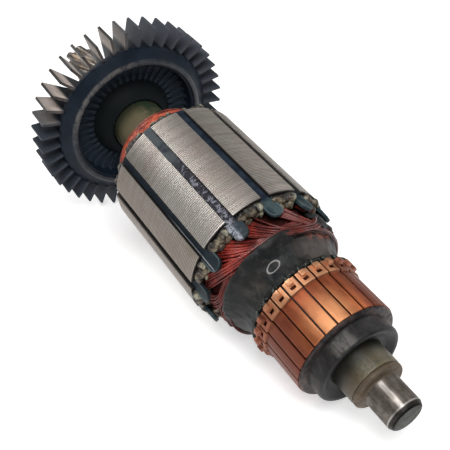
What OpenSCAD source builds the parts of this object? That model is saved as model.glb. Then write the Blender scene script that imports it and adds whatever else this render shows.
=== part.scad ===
// Armature of a universal motor: a wound, laminated core on an insulated shaft,
// with a hook commutator at one end and a bladed cooling fan and pinion at the other.
//
// Every piece is drawn on an upright shaft, Z along the axis and Z = 0 at the core's
// commutator-side face. lie() then lays the whole armature down on its fan and its core.

/* [Shaft] */
// Diameter of the bearing journal at the commutator end
journal_d = 8; // [7:0.1:9]
// Length of that journal, from its shoulder to the bevel
journal_len = 6.6; // [5:0.1:12]
// Depth of the bevel at the shaft's end
bevel_depth = 0.8; // [0.4:0.1:1.2]
// Length of that bevel
bevel_len = 1.1; // [0.6:0.1:2]
// Diameter of the shoulder that the commutator-end bearing stops on
shoulder_d = 11.4; // [10.6:0.1:11.6]
// Length of the shoulder
shoulder_len = 1.2; // [0.8:0.1:4]
// Shaft diameter under the insulating sleeve
shaft_d = 9.8; // [9:0.1:10.2]
// Diameter of the seat under the fan
fan_seat_d = 11; // [10.6:0.1:12]
// Diameter of the drive-end bearing seat
drive_seat_d = 10; // [9.6:0.1:10.4]
// Length of the drive-end bearing seat
drive_seat_len = 11; // [8:0.5:14]
// Length of the relief between that seat and the pinion
relief_len = 2.3; // [1:0.1:4]
// Diameter of the relief
relief_d = 8.4; // [7.6:0.1:8.8]

/* [Pinion] */
// Number of pinion teeth
pinion_teeth = 6; // [5:1:9]
// Tip diameter of the pinion
pinion_tip_d = 8.8; // [8.4:0.1:9.4]
// Root diameter of the pinion
pinion_root_d = 5.8; // [5.4:0.1:6.6]
// Length of the pinion
pinion_len = 15; // [9:0.5:18]
// Turn of the teeth over the pinion's length, in degrees
pinion_twist = 75; // [30:1:90]

/* [Insulating sleeve] */
// Outer diameter through the core and the commutator
sleeve_d = 11.8; // [11.6:0.1:12.4]
// Outer diameter of the thick part between the core and the fan
spacer_d = 14.4; // [13.6:0.1:14.8]
// How far the thick part enters the fan's hub
spacer_entry = 1.4; // [0.5:0.1:3]

/* [Core] */
// Diameter of the laminated core
core_d = 35.4; // [35:0.1:37]
// Length of the core
core_len = 35; // [28:0.5:42]
// Number of slots
slots = 12; // [12:1:12]
// Angle of the first slot from the lowest line
slot_phase = 5.6; // [0:0.1:10]
// Width of a slot's mouth
mouth_w = 2.2; // [1.6:0.1:2.6]
// Thickness of the lips on each side of a mouth
lip_t = 0.9; // [0.7:0.05:1.2]
// Width of the slot where the wedge slides
wedge_seat_w = 3.6; // [3.2:0.1:4]
// Width of the slot at its bottom
slot_bottom_w = 1.6; // [1.2:0.1:2]
// Diameter on which the slots' bottoms lie
slot_floor_d = 19.6; // [19:0.1:21]

/* [Slot parts] */
// Thickness of a slot wedge
wedge_t = 0.8; // [0.6:0.05:1]
// Length of the rounded tongue that stands out past the core
tongue_len = 5.2; // [3:0.1:6]
// Length of the wedge's square end behind the core
wedge_tail = 1.4; // [0.5:0.1:3]
// Thickness of the slot liner
liner_t = 0.25; // [0.15:0.05:0.4]
// Clearance around wedges, liners and coil sides
slip = 0.03; // [0.02:0.01:0.06]

/* [End boards] */
// Thickness of the insulating board on each face of the core
board_t = 0.9; // [0.6:0.1:1.4]
// Height of the moulded block in front of each tooth
block_h = 2.4; // [1.6:0.1:3.2]
// Diameter around the blocks
block_outer_d = 33.8; // [32.8:0.1:34.6]
// Diameter inside the blocks
block_inner_d = 27.4; // [27:0.1:29]
// Width of a block
block_w = 3.4; // [2.4:0.1:4]

/* [Windings] */
// Largest diameter of the coil heads at the commutator end
front_head_d = 30.6; // [29.6:0.1:31]
// Length of the coil heads at the commutator end
front_head_len = 8.4; // [7.6:0.1:9.4]
// Largest diameter of the coil heads at the fan end
rear_head_d = 30; // [29:0.1:31]
// Length of the coil heads at the fan end
rear_head_len = 9; // [7:0.1:11]
// Diameter at which the coil heads at the fan end close on the tube
rear_end_d = 22; // [20:0.5:24]
// Number of wire bundles in each ring of coil heads
bundles = 12; // [6:1:12]
// Height of a bundle over the grooves between them
bundle_relief = 0.9; // [0.4:0.1:1.2]
// Turn of a bundle for each millimetre along the shaft, in degrees
bundle_lay = 11; // [4:1:14]

/* [Lead neck] */
// Diameter of the resin-bound neck where it leaves the coil heads
neck_d = 27.4; // [26.6:0.1:28]
// Diameter of the neck behind the commutator
neck_end_d = 23.4; // [22.8:0.1:24]
// Length over which the neck tapers
neck_taper = 3.4; // [3:0.1:4]
// Height of the ridge around the neck's end
neck_ridge = 0.5; // [0.3:0.05:0.8]
// Diameter of a lead where it enters its hook
lead_d = 1.1; // [0.8:0.1:1.3]

/* [Commutator] */
// Diameter of the brush track
track_d = 23.8; // [23.4:0.1:24.4]
// Distance from the core's face to the back of the bars
bars_start = 16.6; // [16:0.1:18]
// Length of a bar
bar_len = 13.7; // [12:0.1:16]
// Number of bars
bars = 24; // [24:1:24]
// Angle of the first gap from the lowest line
bar_phase = 11.5; // [0:0.1:15]
// Width of the gap between bars, at the track
bar_gap = 0.55; // [0.4:0.05:0.7]
// Depth of the gap above the insulation between bars
undercut = 0.6; // [0.3:0.05:0.8]
// Length of the riser at the back of each bar
riser_len = 3.3; // [2.8:0.1:3.6]
// Height of the riser over the track
riser_h = 0.4; // [0.3:0.05:0.6]
// Width of the hook on a riser
hook_w = 1.7; // [1.4:0.1:1.9]
// Length of the hook along the shaft
hook_len = 1.6; // [1.4:0.1:1.8]
// Height of the hook over the riser
hook_h = 0.85; // [0.7:0.05:1.1]
// Diameter inside the bars' dovetail feet
foot_d = 17.6; // [17:0.1:18.4]
// Clearance between the moulded hub and what it holds
mould_gap = 0.02; // [0.01:0.01:0.04]
// Thickness of the moulded ring in front of the bars
front_ring_t = 0.6; // [0.4:0.1:1]
// Diameter of the hub's collar
collar_d = 19.8; // [18.8:0.1:20.4]
// Length of the collar in front of that ring
collar_len = 3.85; // [3:0.05:5]
// Depth of the dished recess in the collar's face
dish_depth = 1.1; // [0.5:0.1:2]

/* [Cooling fan] */
// Number of blades
blades = 41; // [31:2:45]
// Diameter over the blades
fan_d = 54; // [50:0.5:56]
// Distance from the core's back face to the front of the blades
fan_gap = 23.7; // [22:0.1:28]
// Width of a blade at its outer edge
blade_edge = 7.2; // [6:0.1:9]
// Thickness of a blade
blade_t = 0.9; // [0.7:0.05:1.1]
// How much deeper a blade is at its inner end
blade_sweep = 2.6; // [1:0.1:3.5]
// Diameter of the dished disc that carries the blades
disc_d = 43.4; // [41:0.1:45]
// Thickness of the disc
disc_t = 1.6; // [1.2:0.1:2]
// Diameter at the crest of the raised ring
crest_d = 37.2; // [36:0.1:38]
// How far the crest stands in front of the blades
crest_rise = 1.4; // [0.8:0.1:2]
// Depth of the raised ring, from its crest to its underside
ring_depth = 3.2; // [2.8:0.1:3.6]
// Diameter of the recess inside the ring
recess_d = 34; // [33:0.1:34.6]
// Depth of the recess behind the front of the blades
recess_depth = 3.4; // [2.4:0.1:4]
// Height of the radial ribs in the recess
rib_h = 1.2; // [0.6:0.1:1.6]
// Height of the gussets where the ribs meet the ring
gusset_h = 2.4; // [1.8:0.1:2.6]
// Diameter at the foot of the conical hub
hub_foot_d = 22.4; // [21:0.1:24]
// Diameter at the nose of the hub
hub_nose_d = 15.8; // [15.4:0.1:17]
// How far the hub's nose stands in front of the blades
hub_nose_rise = 1.6; // [1:0.1:3]
// Length of the hub behind the disc
hub_back_len = 5; // [4:0.5:7]

/* [Hidden] */
// Places along the shaft, from the core's commutator-side face
core_back = -core_len;
bars_end = bars_start + bar_len;
riser_end = bars_start + riser_len;
ring_end = bars_end + front_ring_t;
collar_end = ring_end + collar_len;
sleeve_reach = 4.4;
sleeve_end = collar_end + sleeve_reach;
journal_start = sleeve_end + shoulder_len;
journal_end = journal_start + journal_len;
shaft_front = journal_end + bevel_len;
neck_start = front_head_len;
neck_end = bars_start - 1.2;
fan_front = core_back - fan_gap;
blade_back = fan_front - blade_edge;
nose_front = fan_front + hub_nose_rise;
sleeve_back = nose_front - spacer_entry;
spacer_start = core_back - board_t - mould_gap;
recess_floor = fan_front - recess_depth;
disc_back = recess_floor - disc_t;
blade_root_back = blade_back - blade_sweep;
hub_back = disc_back - hub_back_len;
drive_seat_start = hub_back;
drive_seat_end = drive_seat_start - drive_seat_len;
pinion_start = drive_seat_end - relief_len;
shaft_back = pinion_start - pinion_len;

// Radii used by more than one piece
core_r = core_d / 2;
sleeve_r = sleeve_d / 2;
shaft_r = shaft_d / 2;
track_r = track_d / 2;
riser_r = track_r + riser_h;
hook_r = riser_r + hook_h;
fan_r = fan_d / 2;
foot_r = foot_d / 2;
spacer_r = spacer_d / 2;

// The wedge lies against the lips, and the liner and the coil lie under the wedge
lip_inner = core_r - lip_t;
wedge_top = lip_inner - slip;
wedge_floor = wedge_top - wedge_t;
liner_top = wedge_floor - slip;
slot_floor = slot_floor_d / 2;

// Angles
slot_pitch = 360 / slots;
bar_pitch = 360 / bars;
blade_pitch = 360 / blades;
gap_angle = 2 * asin(bar_gap / 2 / track_r);
bar_angle = bar_pitch - gap_angle;

// The armature lies on two blade corners and on the core's front edge
blade_reach = fan_r * cos(blade_pitch / 2) + blade_t / 2 * sin(blade_pitch / 2);
lie_tilt = atan((blade_reach - core_r) / -fan_front);
lie_height = core_r * cos(lie_tilt);
front_reach = shaft_front * cos(lie_tilt) + (journal_d / 2 - bevel_depth) * sin(lie_tilt);
back_reach = shaft_back * cos(lie_tilt) - pinion_tip_d / 2 * sin(lie_tilt);
lie_shift = -(front_reach + back_reach) / 2;

eps = 0.01;
$fn = 96;

wedge_names = [for (i = [1:slots]) str("slot_wedge_", i < 10 ? "0" : "", i)];
bar_names = [for (i = [1:bars]) str("commutator_bar_", i < 10 ? "0" : "", i)];

// Lays the upright armature on the floor, Z = 0, with its middle over the origin
module lie() {
    translate([lie_shift, 0, lie_height])
        rotate([0, 90 + lie_tilt, 0])
            children();
}

// A turned solid from points [radius, height]
module turned(points) {
    rotate_extrude()
        polygon(points);
}

// Copies a part around the shaft
module around(count, phase = 0) {
    for (i = [0:count - 1])
        rotate([0, 0, phase + i * 360 / count])
            children();
}

// ---- Shaft -------------------------------------------------------------------

// One tooth space and tooth of the pinion as points, with rounded roots
function pinion_r(a) =
    let (root = pinion_root_d / 2, tip = pinion_tip_d / 2, wave = 0.5 + 0.72 * cos(pinion_teeth * a))
    root + (tip - root) * min(1, max(0, wave));

module pinion() {
    steps = pinion_teeth * 14;
    translate([0, 0, shaft_back])
        linear_extrude(height = pinion_len, twist = pinion_twist, slices = 12, convexity = 6)
            polygon([for (i = [0:steps - 1])
                let (a = i * 360 / steps) pinion_r(a) * [cos(a), sin(a)]]);
}

module shaft() {
    color([0.52, 0.49, 0.46]) {
        turned([
            [0, pinion_start],
            [relief_d / 2, pinion_start],
            [relief_d / 2, drive_seat_end],
            [drive_seat_d / 2 - 0.4, drive_seat_end],
            [drive_seat_d / 2, drive_seat_end + 0.4],
            [drive_seat_d / 2, drive_seat_start],
            [fan_seat_d / 2, drive_seat_start],
            [fan_seat_d / 2, sleeve_back],
            [shaft_r, sleeve_back],
            [shaft_r, sleeve_end],
            [shoulder_d / 2, sleeve_end],
            [shoulder_d / 2, journal_start - 0.5],
            [shoulder_d / 2 - 0.5, journal_start],
            [journal_d / 2, journal_start],
            [journal_d / 2, journal_end],
            [journal_d / 2 - bevel_depth * 0.5, journal_end + bevel_len * 0.7],
            [journal_d / 2 - bevel_depth, shaft_front],
            [0, shaft_front]
        ]);
        pinion();
    }
}

// ---- Insulation on the shaft ---------------------------------------------------

module shaft_insulation() {
    color([0.50, 0.48, 0.36])
        turned([
            [shaft_r + mould_gap, sleeve_back + mould_gap],
            [spacer_r, sleeve_back + mould_gap],
            [spacer_r, spacer_start],
            [sleeve_r, spacer_start],
            [sleeve_r, sleeve_end - 0.3],
            [sleeve_r - 0.3, sleeve_end - mould_gap],
            [shaft_r + mould_gap, sleeve_end - mould_gap]
        ]);
}

// ---- Core ----------------------------------------------------------------------

// Outline of one slot, mouth up; inset brings its walls in
module slot_outline(inset = 0, top = core_r + 1) {
    seat = wedge_seat_w / 2;
    floor_w = slot_bottom_w / 2;
    polygon([
        [-floor_w + inset, slot_floor + inset],
        [floor_w - inset, slot_floor + inset],
        [seat - inset, liner_top - 1.2],
        [seat - inset, min(top, lip_inner)],
        [-seat + inset, min(top, lip_inner)],
        [-seat + inset, liner_top - 1.2]
    ]);
}

// A slot as cut through the core
module slot_cut() {
    slot_outline();
    translate([-mouth_w / 2, lip_inner - eps])
        square([mouth_w, lip_t + 1]);
}

// Places the drawing of one slot, mouth outwards, at every slot
module at_slots(index = -1) {
    first = index < 0 ? 0 : index;
    last = index < 0 ? slots - 1 : index;
    for (i = [first:last])
        rotate([0, 0, slot_phase + i * slot_pitch - 90])
            children();
}

module lamination_stack() {
    color([0.66, 0.63, 0.60])
        translate([0, 0, core_back])
            linear_extrude(height = core_len, convexity = 8)
                difference() {
                    circle(r = core_r);
                    circle(r = sleeve_r + mould_gap);
                    at_slots()
                        slot_cut();
                }
}

// A board of sheet insulation with the slots cut out, and a moulded block on each tooth
module end_board() {
    block_r = block_outer_d / 2;
    linear_extrude(height = board_t, convexity = 8)
        difference() {
            circle(r = block_r);
            circle(r = sleeve_r + mould_gap);
            at_slots()
                slot_cut();
        }
    linear_extrude(height = block_h, convexity = 8)
        at_slots()
            rotate([0, 0, slot_pitch / 2])
                intersection() {
                    circle(r = block_r - 0.1);
                    translate([-block_w / 2, block_inner_d / 2])
                        square([block_w, core_r]);
                }
}

module front_end_board() {
    color([0.72, 0.68, 0.52])
        end_board();
}

module rear_end_board() {
    color([0.72, 0.68, 0.52])
        translate([0, 0, core_back])
            mirror([0, 0, 1])
                end_board();
}

// ---- What fills the slots --------------------------------------------------------

module slot_liners() {
    color([0.80, 0.74, 0.55])
        translate([0, 0, core_back])
            linear_extrude(height = core_len, convexity = 8)
                at_slots()
                    difference() {
                        slot_outline(slip, liner_top);
                        slot_outline(slip + liner_t, liner_top + 1);
                    }
}

// A flat strip under the slot's lips, with a round tongue past the core's front face
module slot_wedge(index) {
    half = wedge_seat_w / 2 - slip;
    color([0.13, 0.19, 0.27])
        at_slots(index)
            translate([0, wedge_floor, 0])
                rotate([-90, 0, 0])
                    linear_extrude(height = wedge_t)
                        union() {
                            translate([-half, -(tongue_len - half)])
                                square([2 * half, tongue_len - half + core_len + wedge_tail]);
                            translate([0, -(tongue_len - half)])
                                circle(r = half);
                        }
}

// ---- Windings ----------------------------------------------------------------------

// Height of the wire bundles at an angle and a place along the shaft, from 0 to 1
function bundle(a, z) = sqrt(abs(cos(bundles / 2 * (a + bundle_lay * z))));

// A ring whose section is a list of [radius, height, share of the bundles' relief]
module wound_ring(section, steps) {
    n = len(section);
    points = [for (i = [0:steps - 1]) for (p = section)
        let (a = i * 360 / steps, r = p[0] - bundle_relief * p[2] * (1 - bundle(a, p[1])))
        [r * cos(a), r * sin(a), p[1]]];
    faces = [for (i = [0:steps - 1]) for (j = [0:n - 1]) for (half = [0, 1])
        let (i2 = (i + 1) % steps, j2 = (j + 1) % n)
        half == 0 ? [i * n + j, i2 * n + j2, i2 * n + j] : [i * n + j, i * n + j2, i2 * n + j2]];
    polyhedron(points = points, faces = faces, convexity = 8);
}

// Section of the coil heads, from the board outwards
function head_section(start, length, inner, top_r, end_r) =
    let (
        under = block_inner_d / 2 - 0.1,
        z = function (share) start + share * length,
        clear = (block_h - board_t + 0.2) / length
    )
    [
        [inner, z(0), 0],
        [under, z(0), 0],
        [under, z(clear), 0],
        [top_r - 0.5, z(clear + 0.08), 0.6],
        [top_r, z(0.42), 1],
        [top_r, z(0.60), 1],
        [top_r - 0.5, z(0.76), 1],
        [top_r - 1.2, z(0.90), 0.6],
        [end_r, z(1), 0],
        [inner, z(1), 0]
    ];

module coil_heads(start, length, inner, top_d, end_r) {
    wound_ring(head_section(start, length, inner + mould_gap, top_d / 2, end_r), 96);
}

// Copper in the slots and the coil heads at both ends, wound as one
module armature_winding() {
    overlap = 0.5;
    color([0.58, 0.17, 0.12]) {
        translate([0, 0, core_back - board_t - overlap])
            linear_extrude(height = core_len + 2 * board_t + 2 * overlap, convexity = 8)
                at_slots()
                    slot_outline(2 * slip + liner_t, liner_top - slip);
        coil_heads(board_t, front_head_len - board_t, sleeve_r, front_head_d, neck_d / 2 - 0.4);
        mirror([0, 0, 1])
            coil_heads(core_len + board_t, rear_head_len - board_t, spacer_r, rear_head_d,
                       rear_end_d / 2);
    }
}

// ---- Leads and commutator ------------------------------------------------------------

module lead_neck() {
    inner = sleeve_r + mould_gap;
    top = neck_d / 2;
    end = neck_end_d / 2;
    color([0.17, 0.18, 0.18])
        turned([
            [inner, neck_start + mould_gap],
            [top - 0.2, neck_start + mould_gap],
            [top, neck_start + 0.5],
            [top - 0.3, neck_start + 1.5],
            [(top + end) / 2, neck_start + neck_taper],
            [end + 0.2, neck_end - 1.7],
            [end, neck_end - 1.3],
            [end + neck_ridge, neck_end - 0.9],
            [end + neck_ridge, neck_end - 0.3],
            [end, neck_end],
            [inner, neck_end]
        ]);
}

// Each lead leaves the neck and runs into the back of its riser
module lead_ends() {
    color([0.12, 0.13, 0.13])
        around(bars, bar_phase + bar_pitch / 2)
            translate([neck_end_d / 2 - lead_d / 2, 0, neck_end + mould_gap])
                cylinder(d = lead_d, h = bars_start - neck_end - 2 * mould_gap, $fn = 24);
}

// Half-section of a bar, with dovetail feet that the hub's moulding grips
function bar_section() = [
    [track_r, riser_end],
    [track_r, bars_end],
    [track_r - 1.7, bars_end],
    [foot_r + 0.8, bars_end - 2.2],
    [foot_r, bars_end - 0.9],
    [foot_r, bars_start + 0.9],
    [foot_r + 0.8, bars_start + 2.2],
    [track_r - 1.7, bars_start],
    [riser_r, bars_start],
    [riser_r, riser_end]
];

module commutator_bar(index) {
    hook_start = bars_start + 0.3;
    wire_r = 0.35;
    color([0.78, 0.44, 0.24])
        rotate([0, 0, bar_phase + gap_angle / 2 + index * bar_pitch])
            difference() {
                union() {
                    rotate_extrude(angle = bar_angle)
                        polygon(bar_section());
                    rotate([0, 0, bar_angle / 2])
                        translate([riser_r - 0.3, -hook_w / 2, hook_start])
                            cube([hook_r - riser_r + 0.3, hook_w, hook_len]);
                }
                rotate([0, 0, bar_angle / 2]) {
                    translate([riser_r + wire_r, 0, hook_start + hook_len / 2])
                        rotate([90, 0, 0])
                            cylinder(r = wire_r, h = hook_w + 1, center = true, $fn = 24);
                    translate([track_r - 0.1, -hook_w / 3, hook_start + hook_len])
                        cube([riser_h + 1, hook_w * 2 / 3, 0.7]);
                }
            }
}

// Thin strips between neighbouring bars, lower than the track
module bar_separators() {
    top = track_r - undercut;
    color([0.10, 0.06, 0.05])
        for (i = [0:bars - 1])
            rotate([0, 0, bar_phase - gap_angle / 2 + i * bar_pitch])
                rotate_extrude(angle = gap_angle)
                    polygon([
                        [top, bars_start],
                        [top, bars_end],
                        [track_r - 1.7, bars_end],
                        [foot_r + 0.8, bars_end - 2.2],
                        [foot_r, bars_end - 0.9],
                        [foot_r, bars_start + 0.9],
                        [foot_r + 0.8, bars_start + 2.2],
                        [track_r - 1.7, bars_start]
                    ]);
}

// Moulded body: it fills the dovetails and ends in the collar with its dished face
module commutator_hub() {
    bore = sleeve_r + mould_gap;
    g = mould_gap;
    collar_r = collar_d / 2;
    ring_r = track_r - 0.15;
    color([0.19, 0.18, 0.18])
        turned([
            [bore, neck_end + g],
            [track_r - 2.6, neck_end + g],
            [track_r - 2.2, bars_start - g],
            [track_r - 1.7 - g, bars_start - g],
            [foot_r + 0.8, bars_start + 2.2 - 3 * g],
            [foot_r - g, bars_start + 0.9 - 3 * g],
            [foot_r - g, bars_end - 0.9 + 3 * g],
            [foot_r + 0.8, bars_end - 2.2 + 3 * g],
            [track_r - 1.7 - g, bars_end + g],
            [ring_r, bars_end + g],
            [ring_r - 0.4, ring_end],
            [collar_r, ring_end],
            [collar_r, collar_end - 0.4],
            [collar_r - 0.4, collar_end],
            [collar_r - 1.2, collar_end],
            [sleeve_r + 1.2, collar_end - dish_depth],
            [bore, collar_end - dish_depth]
        ]);
}

// ---- Fan ---------------------------------------------------------------------------

// Section of the fan's hub and dished disc
module fan_body() {
    crest = fan_front + crest_rise;
    crest_r = crest_d / 2;
    recess_r = recess_d / 2;
    nose_r = hub_nose_d / 2;
    foot = hub_foot_d / 2;
    edge_r = disc_d / 2;
    bore = fan_seat_d / 2 + mould_gap;
    turned([
        [bore, hub_back + mould_gap],
        [foot - 2, hub_back + mould_gap],
        [foot - 1.4, disc_back],
        [recess_r + 1.2, disc_back],
        [recess_r + disc_t, crest - ring_depth],
        [edge_r, fan_front - 1.2 - disc_t / 2],
        [edge_r, fan_front - 1],
        [crest_r + 1.1, crest - 0.35],
        [crest_r, crest],
        [crest_r - 0.9, crest - 0.25],
        [recess_r, crest - 1.1],
        [recess_r, recess_floor],
        [foot, recess_floor],
        [nose_r + 0.3, nose_front - 0.4],
        [nose_r, nose_front],
        [spacer_r + 0.1, nose_front],
        [spacer_r + 0.1, sleeve_back],
        [bore, sleeve_back]
    ]);
}

// A radial blade behind the disc, carried inwards as a gusset and a low rib in the recess
module fan_blade() {
    rib_top = recess_floor + rib_h;
    buried = fan_front - 1;
    inner = hub_foot_d / 2 - 0.4;
    recess_r = recess_d / 2;
    translate([0, blade_t / 2, 0])
        rotate([90, 0, 0])
            linear_extrude(height = blade_t)
                polygon([
                    [inner, rib_top - 0.4],
                    [inner + 1, rib_top],
                    [recess_r - gusset_h + rib_h, rib_top],
                    [recess_r - 0.4, recess_floor + gusset_h],
                    [recess_r + 0.6, recess_floor + gusset_h],
                    [recess_r + 1, buried],
                    [disc_d / 2 - 1, buried],
                    [disc_d / 2, fan_front - 0.7],
                    [fan_r, fan_front],
                    [fan_r, blade_back],
                    [inner, blade_root_back]
                ]);
}

module cooling_fan() {
    color([0.13, 0.14, 0.16]) {
        fan_body();
        around(blades, blade_pitch / 2)
            fan_blade();
    }
}

lie() shaft();
lie() shaft_insulation();
lie() lamination_stack();
lie() front_end_board();
lie() rear_end_board();
lie() slot_liners();
lie() armature_winding();
lie() lead_neck();
lie() lead_ends();
lie() commutator_hub();
lie() bar_separators();
lie() cooling_fan();
for (i = [0:slots - 1])
    lie() slot_wedge(i);
for (i = [0:bars - 1])
    lie() commutator_bar(i);
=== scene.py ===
import math
import random
import bpy
from mathutils import Matrix, Vector


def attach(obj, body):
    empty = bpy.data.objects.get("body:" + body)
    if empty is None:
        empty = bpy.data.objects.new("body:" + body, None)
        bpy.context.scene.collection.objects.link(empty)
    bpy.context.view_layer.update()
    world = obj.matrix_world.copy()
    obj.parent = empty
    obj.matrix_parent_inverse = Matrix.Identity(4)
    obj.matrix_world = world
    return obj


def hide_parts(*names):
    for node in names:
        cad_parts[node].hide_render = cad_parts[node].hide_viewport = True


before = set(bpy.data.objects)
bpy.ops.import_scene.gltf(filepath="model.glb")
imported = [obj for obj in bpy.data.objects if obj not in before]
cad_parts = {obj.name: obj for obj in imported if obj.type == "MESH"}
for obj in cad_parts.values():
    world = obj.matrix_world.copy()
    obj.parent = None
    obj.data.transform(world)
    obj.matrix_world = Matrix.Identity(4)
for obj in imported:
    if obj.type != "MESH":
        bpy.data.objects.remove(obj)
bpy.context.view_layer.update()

# ---- Shaft -----------------------------------------------
# One bar of hardened steel, turned and ground: a journal and a shoulder at the
# commutator end, a bearing seat behind the fan, and a six-tooth helical pinion cut
# into its far end. Everything else is pressed or moulded onto it.
scene = bpy.context.scene
MM, WELD = 0.001, 0.002
SHAFT_FRONT, BEVEL_RADIUS = 48.05, 3.2
PINION_END, PINION_RADIUS = -97.0, 4.4
PINION_TEETH, PINION_TWIST, PINION_STEPS = 6, 75, 24
CORE_RADIUS = 17.7
BLADES, BLADE_THICKNESS = 41, 0.9
FAN_RADIUS, FAN_FRONT = 27.0, -58.7

# Pieces are made on an upright shaft, Z along it and Z = 0 at the core's front face,
# and then laid on two fan blades and the core's edge, as the real one lies.
half_blade = math.pi / BLADES
blade_reach = FAN_RADIUS * math.cos(half_blade) + BLADE_THICKNESS / 2 * math.sin(half_blade)
LIE_TILT = math.atan((blade_reach - CORE_RADIUS) / -FAN_FRONT)
shaft_middle = ((SHAFT_FRONT + PINION_END) / 2 * math.cos(LIE_TILT)
                + (BEVEL_RADIUS - PINION_RADIUS) / 2 * math.sin(LIE_TILT))
LIE_PLACE = Vector((-shaft_middle, 0, CORE_RADIUS * math.cos(LIE_TILT))) * MM
LIE_TURN = math.pi / 2 + LIE_TILT
LIE = Matrix.Translation(LIE_PLACE) @ Matrix.Rotation(LIE_TURN, 4, "Y")


def start(outline, turn=0.0):
    """Draws a line of [radius, height] points in mm, in the plane at an angle round the shaft."""
    bpy.ops.object.select_all(action="DESELECT")
    points = [Vector((r * math.cos(turn), r * math.sin(turn), z)) * MM for r, z in outline]
    bpy.ops.mesh.primitive_plane_add(size=MM, location=points[0])
    piece = bpy.context.object
    bpy.ops.object.transform_apply(location=True, rotation=True, scale=True)
    bpy.ops.object.mode_set(mode="EDIT")
    bpy.ops.mesh.select_mode(type="VERT")
    bpy.ops.mesh.merge(type="CENTER")
    for a, b in zip(points, points[1:]):
        bpy.ops.mesh.extrude_vertices_move(TRANSFORM_OT_translate={"value": b - a})
    bpy.ops.mesh.select_all(action="SELECT")
    return piece


def pick(piece, wanted, kind="vertices"):
    """Selects, in edit mode, only the vertices, edges or faces that a test accepts."""
    bpy.context.view_layer.objects.active = piece
    bpy.ops.object.mode_set(mode="EDIT")
    bpy.ops.mesh.select_mode(type={"vertices": "VERT", "edges": "EDGE", "polygons": "FACE"}[kind])
    bpy.ops.mesh.select_all(action="DESELECT")
    bpy.ops.object.mode_set(mode="OBJECT")
    for item in getattr(piece.data, kind):
        item.select = bool(wanted(item))
    bpy.ops.object.mode_set(mode="EDIT")


def take(piece):
    """Selects one piece alone."""
    bpy.ops.object.select_all(action="DESELECT")
    piece.select_set(True)
    bpy.context.view_layer.objects.active = piece


def round_off(piece, width, segments=2, angle=30):
    """Rounds a piece's sharp edges by a width in mm, and shades it smooth between the rest."""
    take(piece)
    if width:
        bevel = piece.modifiers.new("worn_edges", "BEVEL")
        bevel.width = width * MM
        bevel.segments = segments
        bevel.limit_method = "ANGLE"
        bevel.angle_limit = math.radians(angle)
        bevel.use_clamp_overlap = True
        bpy.ops.object.modifier_apply(modifier=bevel.name)
    bpy.ops.object.shade_smooth_by_angle(angle=math.radians(angle + 5))


def turned(outline, sides=96, edge=0.15, closed=False):
    """A turned solid from its half-section in mm. A closed section is a ring."""
    piece = start(outline + outline[:1] if closed else outline)
    bpy.ops.mesh.spin(steps=sides, angle=math.tau, center=(0, 0, 0), axis=(0, 0, 1))
    bpy.ops.mesh.select_all(action="SELECT")
    bpy.ops.mesh.remove_doubles(threshold=WELD * MM)
    bpy.ops.mesh.normals_make_consistent(inside=False)
    bpy.ops.object.mode_set(mode="OBJECT")
    round_off(piece, edge)
    return piece


def widen(share):
    """Draws what is picked away from the shaft by a share of its radius, or in if below 1."""
    bpy.ops.transform.resize(value=(share, share, 1), center_override=(0, 0, 0))


def twist(turn):
    """Turns what is picked round the shaft by an angle in degrees."""
    bpy.ops.transform.rotate(value=-math.radians(turn), orient_axis="Z", center_override=(0, 0, 0))


def draw_out(height):
    """Draws the picked edges out along the shaft by a height in mm."""
    bpy.ops.mesh.extrude_edges_move(TRANSFORM_OT_translate={"value": (0, 0, height * MM)})


def close_ends(piece):
    """Closes a piece that was drawn out."""
    bpy.ops.mesh.select_all(action="SELECT")
    bpy.ops.mesh.fill_holes(sides=0)
    bpy.ops.mesh.normals_make_consistent(inside=False)
    bpy.ops.object.mode_set(mode="OBJECT")
    round_off(piece, 0)


def join(pieces):
    """Makes one mesh of several."""
    bpy.ops.object.select_all(action="DESELECT")
    for piece in pieces:
        piece.select_set(True)
    bpy.context.view_layer.objects.active = pieces[0]
    if len(pieces) > 1:
        bpy.ops.object.join()
    return pieces[0]


def fit(piece, name, material, slot, *nodes):
    """Lays a finished piece down with the rest, gives it its material, and hides the CAD nodes
    that it stands for.
    """
    piece.name = name
    piece.data.name = name
    piece.data.transform(LIE @ piece.matrix_world)
    piece.matrix_world = Matrix.Identity(4)
    piece.data.materials.clear()
    piece.data.materials.append(material)
    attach(piece, "root")
    if nodes:
        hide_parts(*nodes)


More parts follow.
